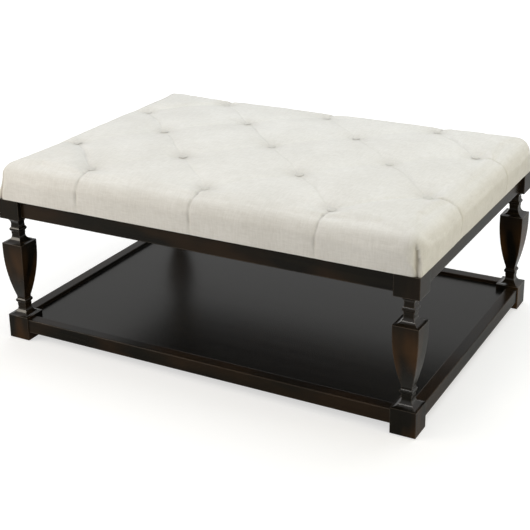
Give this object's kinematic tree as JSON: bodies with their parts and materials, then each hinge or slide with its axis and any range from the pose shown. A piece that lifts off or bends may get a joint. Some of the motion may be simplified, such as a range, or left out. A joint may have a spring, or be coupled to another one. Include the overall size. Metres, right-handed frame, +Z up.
{
  "type": "ottoman coffee table",
  "caption": "Rectangular coffee table with a button-tufted upholstered top on square moulded legs and a framed lower shelf.",
  "frame": {"origin": "on the floor under the middle of the table", "axes": "+X along the table's length to the right, +Y to the rear, +Z up; the front is -Y"},
  "size_m": [1.104, 0.794, 0.481],
  "materials": {
    "dark_wood": "satin espresso stain with rubbed edges",
    "shelf_wood": "satin espresso stain",
    "plain_wood": "unfinished hardwood",
    "plywood": "unfinished plywood",
    "linen_cloth": "plain woven linen over wadding",
    "button_cloth": "plain woven linen",
    "twine": "waxed twine",
    "dust_cloth": "thin spunbonded cloth",
    "foam": "open-cell foam",
    "glide_plastic": "matte",
    "zinc_steel": "zinc plated"
  },
  "bodies": {
    "root": {"apron_dowels": "plain_wood", "apron_front": "dark_wood", "apron_left": "dark_wood", "apron_rear": "dark_wood", "apron_right": "dark_wood", "batten_screws": "zinc_steel", "bolt_nuts": "zinc_steel", "bolt_washers": "zinc_steel", "cleat_front": "plain_wood", "cleat_rear": "plain_wood", "cleat_screws": "zinc_steel", "corner_block_front_left": "plain_wood", "corner_block_front_right": "plain_wood", "corner_block_rear_left": "plain_wood", "corner_block_rear_right": "plain_wood", "corner_block_screws": "zinc_steel", "dust_cover": "dust_cloth", "foam_pad": "foam", "foot_glide_front_left": "glide_plastic", "foot_glide_front_right": "glide_plastic", "foot_glide_rear_left": "glide_plastic", "foot_glide_rear_right": "glide_plastic", "hanger_bolts": "zinc_steel", "leg_front_left": "dark_wood", "leg_front_right": "dark_wood", "leg_rear_left": "dark_wood", "leg_rear_right": "dark_wood", "seat_board": "plywood", "shelf_batten": "dark_wood", "shelf_panel": "shelf_wood", "shelf_rail_front": "dark_wood", "shelf_rail_left": "dark_wood", "shelf_rail_rear": "dark_wood", "shelf_rail_right": "dark_wood", "top_fixing_screws": "zinc_steel", "tuft_buttons": "button_cloth", "tufted_cover": "linen_cloth", "tufting_twines": "twine"}
  },
  "joints": []
}
